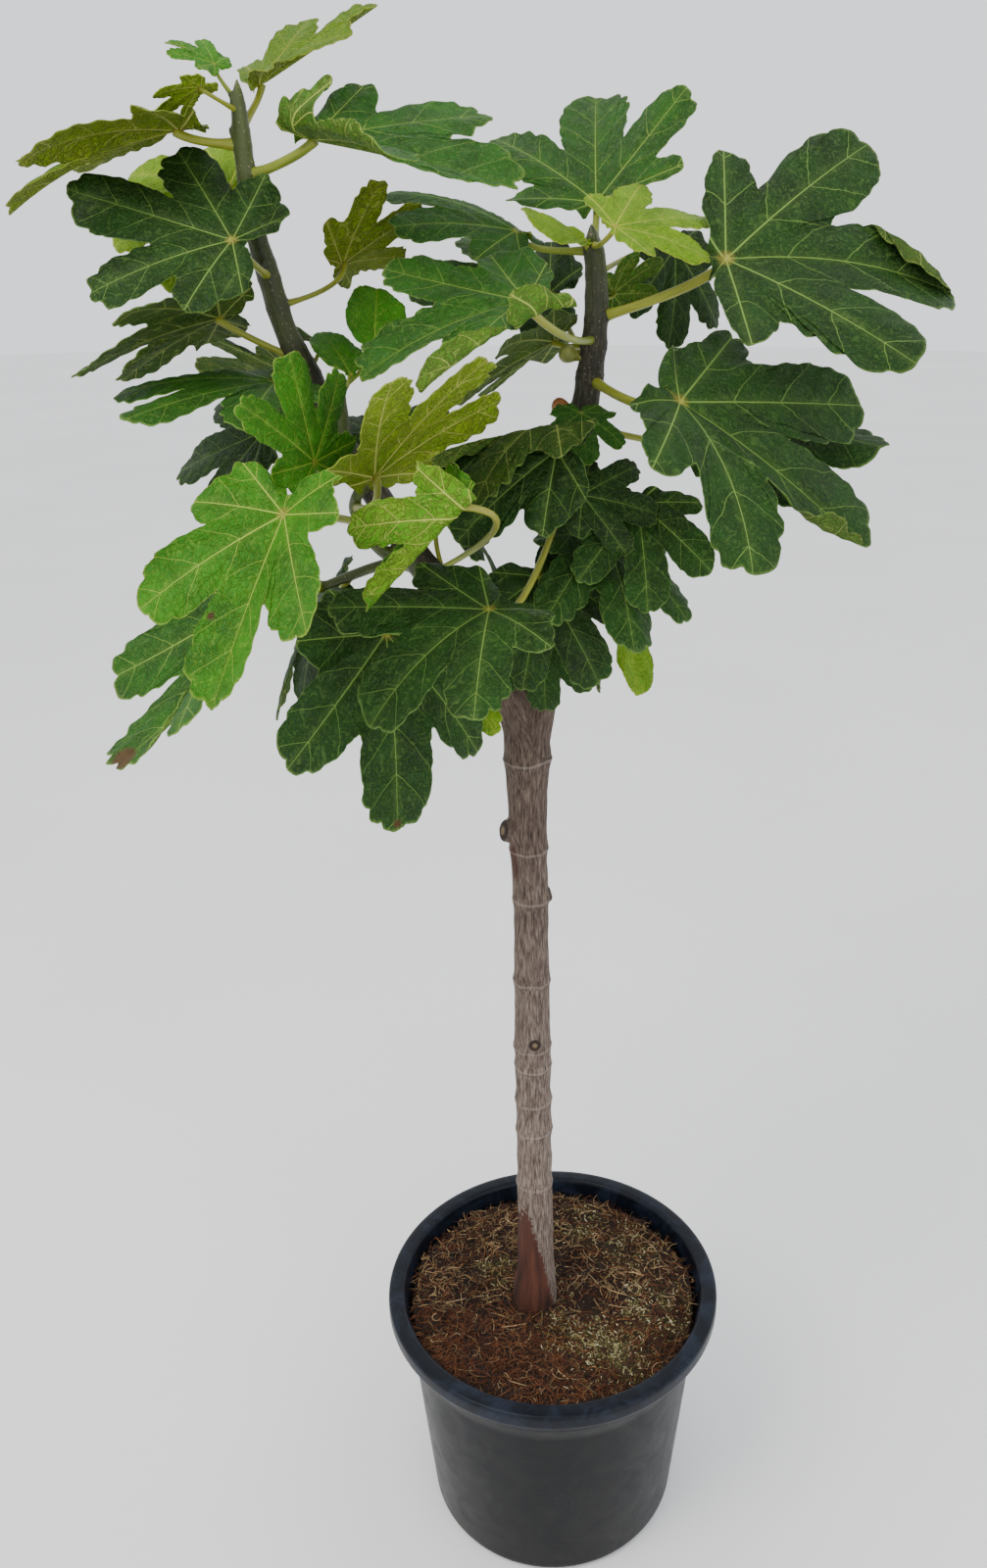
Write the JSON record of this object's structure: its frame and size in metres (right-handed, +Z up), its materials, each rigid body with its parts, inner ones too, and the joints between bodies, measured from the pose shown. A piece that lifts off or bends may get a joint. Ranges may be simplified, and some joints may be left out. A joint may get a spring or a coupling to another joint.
{
  "type": "potted fig tree",
  "caption": "Young fig tree with a bare slender trunk forking into leafy shoots of lobed leaves, in a round black nursery pot of potting mix.",
  "frame": {"origin": "centre of the pot's flat underside, on the ground", "axes": "+Z up along the pot's axis; -Y towards the viewer of the front; +X to the viewer's right, where the right-hand shoot leans"},
  "size_m": [0.5904, 0.4053, 1.2472],
  "materials": {
    "pot_plastic": "moulded black polypropylene, softly glossy, water-marked and dusty",
    "potting_mix": null,
    "bark": "living grey-brown bark, finely fissured and ringed by leaf scars",
    "leaf_dark": "mature leathery leaf in shade, dark green with paler veins",
    "leaf_mid": "mature leathery leaf, mid green with paler veins",
    "leaf_bright": "fresh leathery leaf, bright green with yellow-green veins",
    "leaf_lime": "young thin leaf, yellow-green",
    "young_fig": "small hard unripe fruit, smooth matt skin"
  },
  "bodies": {
    "root": {"fig_lower": "young_fig", "fig_upper": "young_fig", "left_leaf_01": "leaf_lime", "left_leaf_02": "leaf_bright", "left_leaf_03": "leaf_lime", "left_leaf_04": "leaf_lime", "left_leaf_05": "leaf_mid", "left_leaf_06": "leaf_lime", "left_leaf_07": "leaf_dark", "left_leaf_08": "leaf_lime", "left_leaf_09": "leaf_dark", "left_leaf_10": "leaf_dark", "left_leaf_11": "leaf_dark", "left_leaf_12": "leaf_mid", "left_leaf_13": "leaf_dark", "left_leaf_14": "leaf_bright", "left_leaf_15": "leaf_bright", "left_leaf_16": "leaf_dark", "left_leaf_17": "leaf_dark", "left_leaf_18": "leaf_lime", "left_leaf_19": "leaf_dark", "low_leaf_01": "leaf_dark", "low_leaf_02": "leaf_mid", "pot": "pot_plastic", "right_leaf_01": "leaf_mid", "right_leaf_02": "leaf_lime", "right_leaf_03": "leaf_lime", "right_leaf_04": "leaf_dark", "right_leaf_05": "leaf_mid", "right_leaf_06": "leaf_dark", "right_leaf_07": "leaf_mid", "right_leaf_08": "leaf_dark", "right_leaf_09": "leaf_dark", "right_leaf_10": "leaf_dark", "right_leaf_11": "leaf_dark", "right_leaf_12": "leaf_mid", "right_leaf_13": "leaf_dark", "right_leaf_14": "leaf_dark", "right_leaf_15": "leaf_dark", "right_leaf_16": "leaf_dark", "right_leaf_17": "leaf_dark", "right_leaf_18": "leaf_dark", "right_leaf_19": "leaf_lime", "right_leaf_20": "leaf_dark", "right_leaf_21": "leaf_dark", "right_leaf_22": "leaf_mid", "side_leaf_01": "leaf_lime", "side_leaf_02": "leaf_bright", "soil": "potting_mix", "wood": "bark", "young_leaf_01": "leaf_bright", "young_leaf_02": "leaf_bright"}
  },
  "joints": []
}
